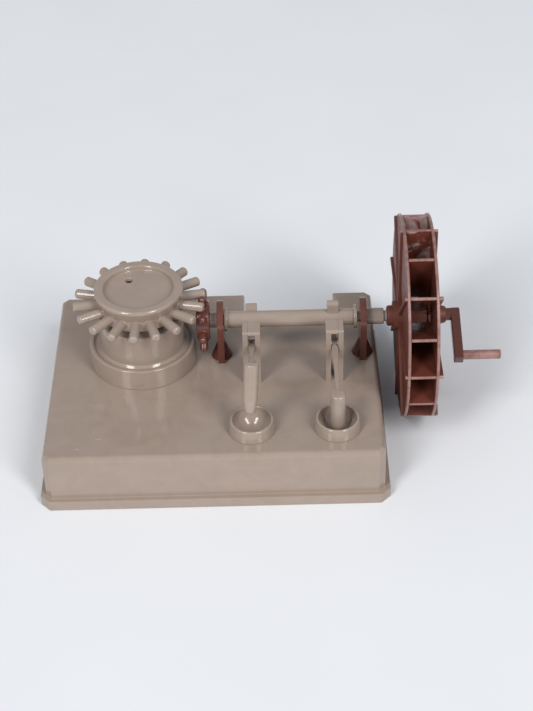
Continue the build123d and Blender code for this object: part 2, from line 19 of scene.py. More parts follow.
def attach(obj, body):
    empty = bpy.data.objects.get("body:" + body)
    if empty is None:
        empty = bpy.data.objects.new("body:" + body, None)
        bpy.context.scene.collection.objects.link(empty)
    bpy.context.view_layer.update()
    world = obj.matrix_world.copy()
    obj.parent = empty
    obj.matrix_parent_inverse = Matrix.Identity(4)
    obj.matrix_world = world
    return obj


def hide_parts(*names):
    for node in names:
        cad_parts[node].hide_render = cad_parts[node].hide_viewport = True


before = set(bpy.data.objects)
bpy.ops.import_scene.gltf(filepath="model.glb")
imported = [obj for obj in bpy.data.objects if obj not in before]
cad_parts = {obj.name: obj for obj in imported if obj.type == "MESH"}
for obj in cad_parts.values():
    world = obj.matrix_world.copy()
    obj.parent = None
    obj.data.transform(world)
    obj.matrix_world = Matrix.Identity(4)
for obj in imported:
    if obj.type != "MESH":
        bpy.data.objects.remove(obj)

MM = 0.001
RIGHT_ANGLE = math.pi / 2
ROUND_EDGES_ABOVE = math.radians(35.0)
SMOOTH_BELOW = math.radians(38.0)
LOG = logging.getLogger("water_mill")

Tree = bpy.types.NodeTree
Socket = bpy.types.NodeSocket
Finish = bpy.types.Material
Mesh = bpy.types.Mesh
Shape = bmesh.types.BMesh
Pair = tuple[float, float]
Triple = tuple[float, float, float]


class Body(Enum):
    """The CAD bodies that the pieces ride on."""

    ROOT = "root"
    SHAFT = "shaft_line"
    MILL = "mill_wheel"
    HAMMER_LEFT = "hammer_left"
    HAMMER_RIGHT = "hammer_right"


class Turn(Enum):
    """How a ring or a turned shape is laid from its own Z axis into the model."""

    UPRIGHT = (0.0, 0.0, 0.0)
    ALONG_SHAFT = (RIGHT_ANGLE, 0.0, RIGHT_ANGLE)

    def matrix(self, centre: Sequence[float]) -> Matrix:
        """Placing matrix of a shape drawn in millimetres about the given centre, in millimetres."""
        place = Matrix.Translation(Vector(centre) * MM)
        return place @ Euler(self.value).to_matrix().to_4x4() @ Matrix.Scale(MM, 4)


# ---------------------------------------------------------------- colours and finishes


def linear(colour: str) -> tuple[float, float, float, float]:
    """Linear colour, with an alpha of 1, of an sRGB hex value."""
    channels = [int(colour[i : i + 2], 16) / 255 for i in (1, 3, 5)]
    low = [c / 12.92 if c <= 0.04045 else ((c + 0.055) / 1.055) ** 2.4 for c in channels]
    return (low[0], low[1], low[2], 1.0)


def add_node(tree: Tree, kind: str, settings: dict | None = None,
             links: dict | None = None) -> bpy.types.Node:
    """Add a node with its settings and the links into it.

    Settings go by attribute name, or by input where the node has no such attribute. Links go by
    input name or number.
    """
    node = tree.nodes.new(kind)
    for name, value in (settings or {}).items():
        if isinstance(name, str) and hasattr(node, name):
            setattr(node, name, value)
        else:
            node.inputs[name].default_value = value
    for name, socket in (links or {}).items():
        tree.links.new(socket, node.inputs[name])
    return node


def noise(tree: Tree, place: Socket, size_mm: float, **settings: float) -> Socket:
    """Noise whose grain is size_mm across."""
    return add_node(tree, "ShaderNodeTexNoise", {"Scale": 1 / (size_mm * MM), **settings},
                    {"Vector": place}).outputs["Fac"]


def ramp(tree: Tree, value: Socket, start: float, end: float, low: float = 0.0,
         high: float = 1.0) -> Socket:
    """Value mapped from start and end to low and high."""
    return add_node(tree, "ShaderNodeMapRange",
                    {"From Min": start, "From Max": end, "To Min": low, "To Max": high},
                    {"Value": value}).outputs["Result"]


def blend(tree: Tree, share: Socket, first: Socket | str, second: str) -> Socket:
    """First colour, turned to the second by a share."""
    settings, links = {"data_type": "RGBA", 7: linear(second)}, {0: share}
    if isinstance(first, str):
        settings[6] = linear(first)
    else:
        links[6] = first
    return add_node(tree, "ShaderNodeMix", settings, links).outputs[2]


def bump(tree: Tree, height: Socket, depth_mm: float, **under: Socket) -> Socket:
    """Normal bent by a height of depth_mm, over another normal where one is given."""
    return add_node(tree, "ShaderNodeBump", {"Strength": 1.0, "Distance": depth_mm * MM},
                    {"Height": height, **under}).outputs["Normal"]


def start_material(name: str) -> tuple[Finish, Tree, Socket]:
    """New material, its empty node tree, and the object's own coordinates in it."""
    material = bpy.data.materials.new(name)
    material.use_nodes = True
    material.node_tree.nodes.clear()
    place = add_node(material.node_tree, "ShaderNodeTexCoord").outputs["Object"]
    return material, material.node_tree, place


def shade(tree: Tree, settings: dict, links: dict) -> None:
    """End a material's tree with its shader."""
    shader = add_node(tree, "ShaderNodeBsdfPrincipled", settings, links)
    add_node(tree, "ShaderNodeOutputMaterial", {}, {"Surface": shader.outputs["BSDF"]})


@dataclass(frozen=True)
class MouldedPolystyrene:
    """Injection-moulded polystyrene from a polished mould: a clear gloss with slight waviness.

    The melt leaves faint flow bands and the cooling walls sink a little, so lamp reflections
    bend, while a very fine peel softens them.
    """

    name: str
    body: str
    flow_band: str
    worn: str
    roughness: Pair = (0.07, 0.15)
    index: float = 1.59
    specular: float = 0.5
    flow_mm: float = 11.0
    flow_range: Pair = (0.35, 0.7)
    sink_mm: float = 13.0
    sink_depth_mm: float = 0.03
    peel_mm: float = 0.9
    peel_depth_mm: float = 0.0012
    wear_mm: float = 2.2
    wear_range: Pair = (0.6, 0.8)
    wear_share: float = 0.15
    dull_range: Pair = (0.3, 0.75)
    swirl_beyond_mm: Pair | None = None
    swirl_colour: str = "#C4B2B0"
    swirl_mm: float = 7.0
    swirl_range: Pair = (0.48, 0.68)
    swirl_share: float = 0.6
    swirl_fade_mm: float = 1.5

    def swirled(self, tree: Tree, place: Socket, colour: Socket) -> Socket:
        """Colour streaked with pale swirls, beyond the Y and the Z of swirl_beyond_mm."""
        axes = add_node(tree, "ShaderNodeSeparateXYZ", {}, {"Vector": place})
        swirl = noise(tree, place, self.swirl_mm, Detail=3.0, Distortion=1.6)
        share = ramp(tree, swirl, *self.swirl_range, high=self.swirl_share)
        for axis, start in zip("YZ", self.swirl_beyond_mm):
            side = ramp(tree, axes.outputs[axis], start * MM, (start + self.swirl_fade_mm) * MM)
            share = add_node(tree, "ShaderNodeMath", {"operation": "MULTIPLY"},
                             {0: share, 1: side}).outputs[0]
        return blend(tree, share, colour, self.swirl_colour)

    def build(self) -> Finish:
        """Build the node material."""
        material, tree, place = start_material(self.name)
        flow = noise(tree, place, self.flow_mm, Detail=3.0, Distortion=1.2)
        colour = blend(tree, ramp(tree, flow, *self.flow_range), self.body, self.flow_band)
        wear = noise(tree, place, self.wear_mm, Detail=5.0, Roughness=0.65)
        worn_share = ramp(tree, wear, *self.wear_range, high=self.wear_share)
        colour = blend(tree, worn_share, colour, self.worn)
        if self.swirl_beyond_mm is not None:
            colour = self.swirled(tree, place, colour)
        sunk = bump(tree, noise(tree, place, self.sink_mm, Detail=1.0), self.sink_depth_mm)
        peeled = bump(tree, noise(tree, place, self.peel_mm, Detail=2.0), self.peel_depth_mm,
                      Normal=sunk)
        shade(tree, {"IOR": self.index, "Specular IOR Level": self.specular},
              {"Base Color": colour, "Normal": peeled,
               "Roughness": ramp(tree, wear, *self.dull_range, *self.roughness)})
        return material


@dataclass(frozen=True)
class MattBoard:
    """Painted display board: pale, matt and very slightly mottled, so it only takes shadows."""

    name: str = "painted_display_board"
    body: str = "#E9EAEC"
    mottle: str = "#E3E4E7"
    mottle_mm: float = 60.0

    def build(self) -> Finish:
        """Build the node material."""
        material, tree, place = start_material(self.name)
        colour = blend(tree, noise(tree, place, self.mottle_mm), self.body, self.mottle)
        shade(tree, {"Roughness": 0.7, "Specular IOR Level": 0.3}, {"Base Color": colour})
        return material


# Grey-beige polystyrene, polished: the base, mill, gates, hammers and shaft
TAN = MouldedPolystyrene("gloss_polystyrene_tan", "#9E8D81", "#98887B", "#A89A8D")
# Red-brown polystyrene, polished: the uprights, gear, water wheel and crank
BROWN = MouldedPolystyrene("gloss_polystyrene_red_brown", "#673A30", "#5F342B", "#7A4C40",
                           roughness=(0.09, 0.2), flow_mm=6.0)
# The same red-brown in the thin paddles, with rippled skin and pale swirls laid over the upper
# boards
BROWN_RIPPLED = MouldedPolystyrene("gloss_polystyrene_red_brown_rippled", "#643429", "#6B3A2E",
                                   "#7A4C40", roughness=(0.1, 0.24), flow_mm=5.0,
                                   sink_mm=4.5, sink_depth_mm=0.12,
                                   swirl_beyond_mm=(6.5, 52.0))
# The same red-brown in the wheel's two sides, dulled all over by handling
BROWN_DULLED = MouldedPolystyrene("dulled_polystyrene_red_brown", "#6D3C31", "#643429", "#7E4F43",
                                  roughness=(0.38, 0.55), specular=0.25, flow_mm=6.0)
# The same red-brown painted paler on the wheel's rims and board ends and on the crank's handle: a
# painted sheen that stands in for their highlights
BROWN_PAINTED_SHEEN = MouldedPolystyrene("red_brown_polystyrene_painted_sheen", "#96706A", "#7C564C",
                                   "#C7A298", roughness=(0.2, 0.4), flow_mm=4.0)


# ---------------------------------------------------------------- shapes


@dataclass(frozen=True)
class Corner:
    """A corner of a drawn outline, in millimetres, with the radius that rounds it."""

    across: float
    up: float
    rounding: float = 0.0


def rounded(corners: Sequence[Corner], closed: bool = True, steps: int = 5) -> list[complex]:
    """Outline points, as across + up * 1j, with each corner turned to an arc of steps chords."""
    points: list[complex] = []
    sharp = [complex(c.across, c.up) for c in corners]
    for number, corner in enumerate(corners):
        here = sharp[number]
        if corner.rounding <= 0 or (not closed and number in (0, len(corners) - 1)):
            points.append(here)
            continue
        before = sharp[number - 1] - here
        after = sharp[(number + 1) % len(sharp)] - here
        before, after = before / abs(before), after / abs(after)
        half = abs(cmath.phase(after / before)) / 2
        centre = here + (before + after) / abs(before + after) * corner.rounding / math.sin(half)
        start = here + before * corner.rounding / math.tan(half) - centre
        end = here + after * corner.rounding / math.tan(half) - centre
        sweep = cmath.phase(end / start)
        points += [centre + start * cmath.exp(1j * sweep * n / steps) for n in range(steps + 1)]
    return points


def quarter(steps: int) -> list[float]:
    """Angles from nought to a right angle in equal steps."""
    return [RIGHT_ANGLE * n / steps for n in range(steps + 1)]


def round_end(reach: float, half: float) -> list[complex]:
    """Half circle that ends a bar of half width half at reach."""
    return [reach - half + cmath.rect(half, math.radians(a)) for a in range(-90, 91, 15)]


def bar(start: float, end: float, half: float, rounding: float) -> list[complex]:
    """Outline of a bar along the drawing's X, with its corners rounded."""
    return rounded([Corner(start, -half, rounding), Corner(end, -half, rounding),
                    Corner(end, half, rounding), Corner(start, half, rounding)], steps=3)


def sleeve(bore: float, radius: float, start: float, end: float, edge: float) -> list[Corner]:
    """Profile of a sleeve with its outer rims rounded."""
    return [Corner(bore, start), Corner(radius, start, edge), Corner(radius, end, edge),
            Corner(bore, end)]


def lathe(mesh: Shape, profile: Sequence[complex], place: Matrix,
          closed: bool = True, segments: int = 96) -> None:
    """Turn a profile of radius + height * 1j about its own Z axis and add it to a mesh.

    An open profile starts and ends on the axis. The matrix leads from the drawing to the model.
    """
    rings: list[list[bmesh.types.BMVert]] = []
    for point in profile:
        if point.real < 1e-6:
            rings.append([mesh.verts.new(place @ Vector((0, 0, point.imag)))])
            continue
        turns = (2 * math.pi * n / segments for n in range(segments))
        rings.append([mesh.verts.new(place @ Vector((point.real * math.cos(t),
                                                     point.real * math.sin(t), point.imag)))
                      for t in turns])
    pairs = list(zip(rings, rings[1:]))
    if closed:
        pairs.append((rings[-1], rings[0]))
    for low, high in pairs:
        for n in range(segments):
            m = (n + 1) % segments
            corners = [low[n % len(low)], low[m % len(low)],
                       high[m % len(high)], high[n % len(high)]]
            unique = list(dict.fromkeys(corners))
            if len(unique) > 2:
                mesh.faces.new(unique)


def skin(mesh: Shape, rings: Sequence[Sequence[bmesh.types.BMVert]]) -> None:
    """Join rings of equally many corners into a shell, and close both its ends."""
    for lower, upper in zip(rings, rings[1:]):
        for n in range(len(lower)):
            m = (n + 1) % len(lower)
            mesh.faces.new([lower[n], lower[m], upper[m], upper[n]])
    mesh.faces.new(list(reversed(rings[0])))
    mesh.faces.new(rings[-1])


def prism(mesh: Shape, outline: Sequence[complex], low: float, high: float,
          place: Matrix, edge: float = 0.0) -> None:
    """Add a solid of constant section, with its two rims rounded by shrinking the section."""
    levels = [(0.0, low), (0.0, high)]
    if edge > 0:
        arc = [(edge * (1 - math.sin(t)), edge * (1 - math.cos(t))) for t in quarter(3)]
        levels = [(inset, low + rise) for inset, rise in arc]
        levels += [(inset, high - rise) for inset, rise in reversed(arc)]
    rings = []
    for inset, height in levels:
        ring = shrunk(outline, inset)
        rings.append([mesh.verts.new(place @ Vector((p.real, p.imag, height))) for p in ring])
    skin(mesh, rings)


def shrunk(outline: Sequence[complex], inset: float) -> list[complex]:
    """Outline with each point moved inwards along its mitre by inset, for a loop of either turn."""
    if inset == 0:
        return list(outline)
    area = sum((a.conjugate() * b).imag for a, b in zip(outline, [*outline[1:], outline[0]]))
    side = 1j if area > 0 else -1j
    moved = []
    for number, here in enumerate(outline):
        ahead = outline[(number + 1) % len(outline)] - here
        behind = here - outline[number - 1]
        first, second = side * behind / abs(behind), side * ahead / abs(ahead)
        mitre = (first + second) / abs(first + second)
        moved.append(here + mitre * inset / max(0.3, (mitre * first.conjugate()).real))
    return moved


def stacked(mesh: Shape, outline: Sequence[Corner], levels: Sequence[Pair]) -> None:
    """Stack copies of a counterclockwise outline, each with its inset and height, into a shell."""
    rings = []
    for inset, height in levels:
        points = inset_corners(outline, inset)
        rings.append([mesh.verts.new(Vector((p.real, p.imag, height)) * MM)
                      for p in rounded(points, steps=6)])
    skin(mesh, rings)


def inset_corners(outline: Sequence[Corner], inset: float) -> list[Corner]:
    """Corners of a counterclockwise outline moved inwards, with their roundings kept parallel."""
    sharp = [complex(c.across, c.up) for c in outline]
    moved = shrunk(sharp, inset)
    result = []
    for number, corner in enumerate(outline):
        ahead = sharp[(number + 1) % len(sharp)] - sharp[number]
        behind = sharp[number] - sharp[number - 1]
        outer = (behind.conjugate() * ahead).imag > 0
        radius = corner.rounding - inset if outer else corner.rounding + inset
        result.append(Corner(moved[number].real, moved[number].imag, max(radius, 0.05)))
    return result


def ring_tree(material: Finish) -> Tree:
    """Geometry Nodes tree that repeats one item evenly about an axis, all in one finish."""
    tree = bpy.data.node_groups.new("ring_of_copies", "GeometryNodeTree")
    tree.is_modifier = True
    for label, kind in (("Item", "Geometry"), ("Count", "Int"), ("First Angle", "Float"),
                        ("Centre", "Vector"), ("Turn", "Vector")):
        tree.interface.new_socket(label, in_out="INPUT", socket_type=f"NodeSocket{kind}")
    tree.interface.new_socket("Ring", in_out="OUTPUT", socket_type="NodeSocketGeometry")
    given = add_node(tree, "NodeGroupInput").outputs
    step = add_node(tree, "ShaderNodeMath", {"operation": "DIVIDE", 0: 2 * math.pi},
                    {1: given["Count"]})
    number = add_node(tree, "GeometryNodeInputIndex")
    angle = add_node(tree, "ShaderNodeMath", {"operation": "MULTIPLY_ADD"},
                     {0: number.outputs["Index"], 1: step.outputs[0], 2: given["First Angle"]})
    about_axis = add_node(tree, "ShaderNodeCombineXYZ", {}, {"Z": angle.outputs[0]})
    points = add_node(tree, "GeometryNodePoints", {}, {"Count": given["Count"]})
    copies = add_node(tree, "GeometryNodeInstanceOnPoints", {},
                      {"Points": points.outputs[0], "Instance": given["Item"],
                       "Rotation": about_axis.outputs[0]})
    placed = add_node(tree, "GeometryNodeTransform", {},
                      {"Geometry": copies.outputs[0], "Translation": given["Centre"],
                       "Rotation": given["Turn"]})
    solid = add_node(tree, "GeometryNodeRealizeInstances", {}, {"Geometry": placed.outputs[0]})
    dressed = add_node(tree, "GeometryNodeSetMaterial", {"Material": material},
                       {"Geometry": solid.outputs[0]})
    add_node(tree, "NodeGroupOutput", {}, {"Ring": dressed.outputs[0]})
    return tree


def linked(name: str, data: bpy.types.ID) -> bpy.types.Object:
    """New object of the given data, in the scene."""
    obj = bpy.data.objects.new(name, data)
    bpy.context.scene.collection.objects.link(obj)
    return obj


def outward(shape: Shape, name: str = "shell") -> Mesh:
    """Mesh of closed shells with their faces turned outwards; the shape is used up."""
    bmesh.ops.recalc_face_normals(shape, faces=shape.faces)
    mesh = bpy.data.meshes.new(name)
    shape.to_mesh(mesh)
    shape.free()
    return mesh


def repeated(item: Shape, material: Finish, count: int,
             first_angle: float, centre: Sequence[float], turn: Turn) -> Mesh:
    """Plain mesh of a ring of copies, made with Geometry Nodes.

    The item is drawn in metres about the ring's own Z axis. The centre is in millimetres and the
    first angle in degrees.
    """
    carrier = linked("ring_carrier", outward(item, "ring_item"))
    tree = ring_tree(material)
    modifier = carrier.modifiers.new("ring", "NODES")
    modifier.node_group = tree
    values = {"Count": count, "First Angle": math.radians(first_angle),
              "Centre": [c * MM for c in centre], "Turn": turn.value}
    for socket in tree.interface.items_tree:
        if socket.in_out == "INPUT" and socket.name in values:
            modifier[socket.identifier] = values[socket.name]
    mesh = evaluated(carrier)
    bpy.data.objects.remove(carrier)
    return mesh


def evaluated(obj: bpy.types.Object) -> Mesh:
    """Plain mesh of an object with its modifiers worked out, which are then taken off it."""
    bpy.context.view_layer.update()
    graph = bpy.context.evaluated_depsgraph_get()
    mesh = bpy.data.meshes.new_from_object(obj.evaluated_get(graph), depsgraph=graph)
    obj.modifiers.clear()
    return mesh


def stud(root: float, surface: float, tip: float, radius: float, flare: float,
         tip_round: float, foot_steps: int) -> list[complex]:
    """Profile, as radius + reach * 1j, of a stud that stands on a curved surface.

    It starts at root inside its carrier, has a fillet of radius flare where it leaves the
    surface, and ends at tip, rounded by tip_round.
    """
    foot = [complex(radius + flare * (1 - math.sin(t)), surface + flare * (1 - math.cos(t)))
            for t in quarter(foot_steps)]
    dome = [complex(radius - tip_round * (1 - math.cos(t)), tip - tip_round * (1 - math.sin(t)))
            for t in quarter(6)[: 6 if tip_round == radius else 7]]
    return [complex(0, root), complex(radius + flare, root), *foot, *dome, complex(0, tip)]


def ring_of_studs(profile: Sequence[complex], finish: Finish, count: int,
                  first_angle: float, centre: Sequence[float], turn: Turn,
                  segments: int) -> Mesh:
    """Ring of turned studs that point away from the ring's axis."""
    item = bmesh.new()
    lie_down = Matrix.Rotation(RIGHT_ANGLE, 4, "Y") @ Matrix.Scale(MM, 4)
    lathe(item, profile, lie_down, False, segments)
    return repeated(item, finish, count, first_angle, centre, turn)


def softened(node: str, edge: float) -> Mesh:
    """Copy of a CAD node with its sharp edges rounded by edge, as a mould leaves them."""
    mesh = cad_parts[node].data.copy()
    shape = bmesh.new()
    shape.from_mesh(mesh)
    bmesh.ops.remove_doubles(shape, verts=shape.verts, dist=1e-6)
    bmesh.ops.dissolve_limit(shape, angle_limit=math.radians(0.3), verts=shape.verts,
                             edges=shape.edges, delimit={"NORMAL"})
    shape.to_mesh(mesh)
    shape.free()
    carrier = linked("softening", mesh)
    mesh.shade_smooth()
    bevel = carrier.modifiers.new("edge", "BEVEL")
    bevel.width = edge * MM
    bevel.segments = 3
    bevel.limit_method = "ANGLE"
    bevel.angle_limit = ROUND_EDGES_ABOVE
    bevel.use_clamp_overlap = True
    result = evaluated(carrier)
    bpy.data.objects.remove(carrier)
    return result


def cut_away(body: Mesh, cutter: Shape) -> Mesh:
    """Closed mesh with the cutter's shells taken out of it; both inputs are used up."""
    tool = linked("cutter", outward(cutter, "cutter"))
    carrier = linked("cut_body", body)
    cut = carrier.modifiers.new("cut", "BOOLEAN")
    cut.operation = "DIFFERENCE"
    cut.solver = "EXACT"
    cut.object = tool
    result = evaluated(carrier)
    for obj in (tool, carrier):
        bpy.data.objects.remove(obj)
    return result


@dataclass
class Piece:
    """One visible piece: gathers its shapes, then becomes a dressed object on its body."""

    name: str
    body: Body
    finish: Finish
    slot: str
    shape: Shape = field(default_factory=bmesh.new)

    def take(self, mesh: Mesh) -> None:
        """Add a finished mesh to this piece and drop the original."""
        self.shape.from_mesh(mesh)
        bpy.data.meshes.remove(mesh)

    def lathe(self, corners: Sequence[Corner], place: Matrix, closed: bool = True,
              segments: int = 96) -> None:
        """Add a turned solid, given by its profile's corners."""
        part = bmesh.new()
        lathe(part, rounded(corners, closed), place, closed, segments)
        self.close(part)

    def prism(self, outline: Sequence[complex], low: float, high: float, place: Matrix,
              edge: float) -> None:
        """Add a solid of constant section with rounded rims."""
        part = bmesh.new()
        prism(part, outline, low, high, place, edge)
        self.close(part)

    def close(self, part: Shape) -> None:
        """Turn a shell's faces outwards and add it to this piece."""
        self.take(outward(part))

    def finished(self, *replaced: str) -> bpy.types.Object:
        """Make the object, smooth it up to an angle, and tie it to its body and CAD nodes."""
        mesh = bpy.data.meshes.new(self.name)
        self.shape.to_mesh(mesh)
        self.shape.free()
        mesh.materials.clear()
        mesh.materials.append(self.finish)
        mesh.polygons.foreach_set("material_index", [0] * len(mesh.polygons))
        mesh.shade_smooth()
        mesh.set_sharp_from_angle(angle=SMOOTH_BELOW)
        obj = linked(self.name, mesh)
        weighted = obj.modifiers.new("even_faces", "WEIGHTED_NORMAL")
        weighted.keep_sharp = True
        obj.data = evaluated(obj)
        obj.data.name = self.name
        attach(obj, self.body.value)
        if replaced:
            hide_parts(*replaced)
        LOG.info("%s: %d faces on %s", self.name, len(obj.data.polygons), self.body.value)
        return obj


@dataclass(frozen=True)
class Workshop:
    """The finishes of the two plastics."""

    tan: Finish
    brown: Finish
    rippled: Finish
    dulled: Finish
    painted_sheen: Finish


@dataclass
class Assembly:
    """What every sub-assembly knows: the finishes, and where the main pieces stand."""

    shop: Workshop
    shaft_y: float = 9.37
    shaft_z: float = 38.25
    base_top: float = 22.2
    mill_x: float = -26.3
    gates_x: Pair = (13.75, 43.3)
    gate_y: float = -4.0
    mortars_x: Pair = (13.25, 43.25)
    mortar_y: float = -32.8

    def tan(self, name: str, body: Body) -> Piece:
        """Start a piece in the tan plastic."""
        return Piece(name, body, self.shop.tan, "gloss_tan")

    def brown(self, name: str, body: Body, finish: Finish | None = None) -> Piece:
        """Start a piece in the red-brown plastic, or in a given finish of it."""
        return Piece(name, body, finish or self.shop.brown, "gloss_brown")

    def on_shaft(self, x: float = 0.0) -> Matrix:
        """Placing matrix about the shaft's axis, with the drawing's height along X from x."""
        return Turn.ALONG_SHAFT.matrix((x, self.shaft_y, self.shaft_z))

    def upright(self, x: float, y: float) -> Matrix:
        """Placing matrix about an upright axis."""
        return Turn.UPRIGHT.matrix((x, y, 0.0))

    def ring(self, item: Shape, finish: Finish, count: int, first_angle: float) -> Mesh:
        """Ring of copies about the shaft's axis."""
        return repeated(item, finish, count, first_angle, (0.0, self.shaft_y, self.shaft_z),
                        Turn.ALONG_SHAFT)

    def soften(self, piece: Piece, node: str, edge: float) -> None:
        """Finish a piece as the copy of a CAD node with its sharp edges rounded by edge."""
        piece.take(softened(node, edge))
        piece.finished(node)


# ---------------------------------------------------------------- sub-assemblies


@dataclass
class BaseHousing(Assembly):
    """Open-bottomed tray with a foot flange, a rolled top edge and a notch at the back."""

    half_length: float = 61.5
    half_depth: float = 48.5
    corner_cut: float = 3.4
    flange_height: float = 4.0
    flange_step: float = 2.0
    wall: float = 2.0
    plate_under: float = 20.2
    top_roll: float = 1.85
    flange_edge: float = 0.35
    cove: float = 0.25
    plan_rounding: float = 1.1
    notch: Triple = (12.8, 42.8, 35.0)
    marks: tuple[Triple, ...] = ((-40.35, -36.1, 8.0), (-47.64, -41.03, 24.0))
    mark_size: Triple = (1.3, 0.35, 0.22)
    mortar_socket: float = 6.33
    spindle_socket: float = 2.03
    uprights_x: Pair = (2.5, 54.2)
    upright_tenon: Pair = (1.18, 3.055)
    gate_legs: Pair = (-2.225, 2.225)
    gate_tenon: Pair = (0.955, 2.051)

    def outline(self) -> list[Corner]:
        """Counterclockwise foot outline with its corner cuts and the back notch."""
        x, y, cut = self.half_length, self.half_depth, self.corner_cut
        left, right, front = self.notch
        soft = self.plan_rounding
        points = [(-x + cut, -y), (x - cut, -y), (x, -y + cut), (x, y - cut), (x - cut, y),
                  (right, y), (right, front), (left, front), (left, y),
                  (-x + cut, y), (-x, y - cut), (-x, -y + cut)]
        return [Corner(a, b, soft) for a, b in points]

    def levels(self) -> list[Pair]:
        """Inset and height of the shell's sections, from under the plate round to its top."""
        edge, step, top = self.flange_edge, self.flange_step, self.base_top
        inner = step + self.wall
        under = [(inner, self.plate_under), (inner, 0.0)]
        foot = [(edge * (1 - math.sin(t)), edge * (1 - math.cos(t))) for t in quarter(4)]
        brim = [(edge * (1 - math.cos(t)), self.flange_height - edge * (1 - math.sin(t)))
                for t in quarter(4)]
        cove = [(step - self.cove, self.flange_height), (step, self.flange_height + self.cove)]
        roll = [(step + self.top_roll * (1 - math.cos(t)), top - self.top_roll * (1 - math.sin(t)))
                for t in quarter(9)]
        return under + foot + brim + cove + roll

    def sockets(self) -> Shape:
        """Shells of the holes through the top, for the spigots, the spindle and the tenons."""
        low, high = self.plate_under - 1.0, self.base_top + 1.0
        cutter = bmesh.new()
        holes = [(x, self.mortar_y, self.mortar_socket) for x in self.mortars_x]
        for x, y, radius in [*holes, (self.mill_x, self.shaft_y, self.spindle_socket)]:
            lathe(cutter, [complex(0, low), complex(radius, low), complex(radius, high),
                           complex(0, high)], self.upright(x, y), False)
        slots = [(x, self.shaft_y, *self.upright_tenon) for x in self.uprights_x]
        slots += [(x + leg, self.gate_y, *self.gate_tenon) for x in self.gates_x
                  for leg in self.gate_legs]
        for x, y, half_x, half_y in slots:
            prism(cutter, bar(-half_x, half_x, half_y, 0.0), low, high, self.upright(x, y))
        return cutter

    def build(self) -> None:
        """Build the housing and the small raised mould marks on its top."""
        piece = self.tan("base_shell", Body.ROOT)
        part = bmesh.new()
        stacked(part, self.outline(), self.levels())
        piece.take(cut_away(outward(part), self.sockets()))
        length, width, height = self.mark_size
        for x, y, angle in self.marks:
            place = (Matrix.Translation(Vector((x, y, self.base_top - 0.02)) * MM)
                     @ Matrix.Rotation(math.radians(angle), 4, "Z")
                     @ Matrix.Diagonal((length * MM, width * MM, height * MM, 1)))
            dome = [cmath.rect(1, t) for t in quarter(6)[:-1]]
            part = bmesh.new()
            lathe(part, [0j, *dome, 1j], place, False, 24)
            piece.close(part)
        piece.finished("base_housing")


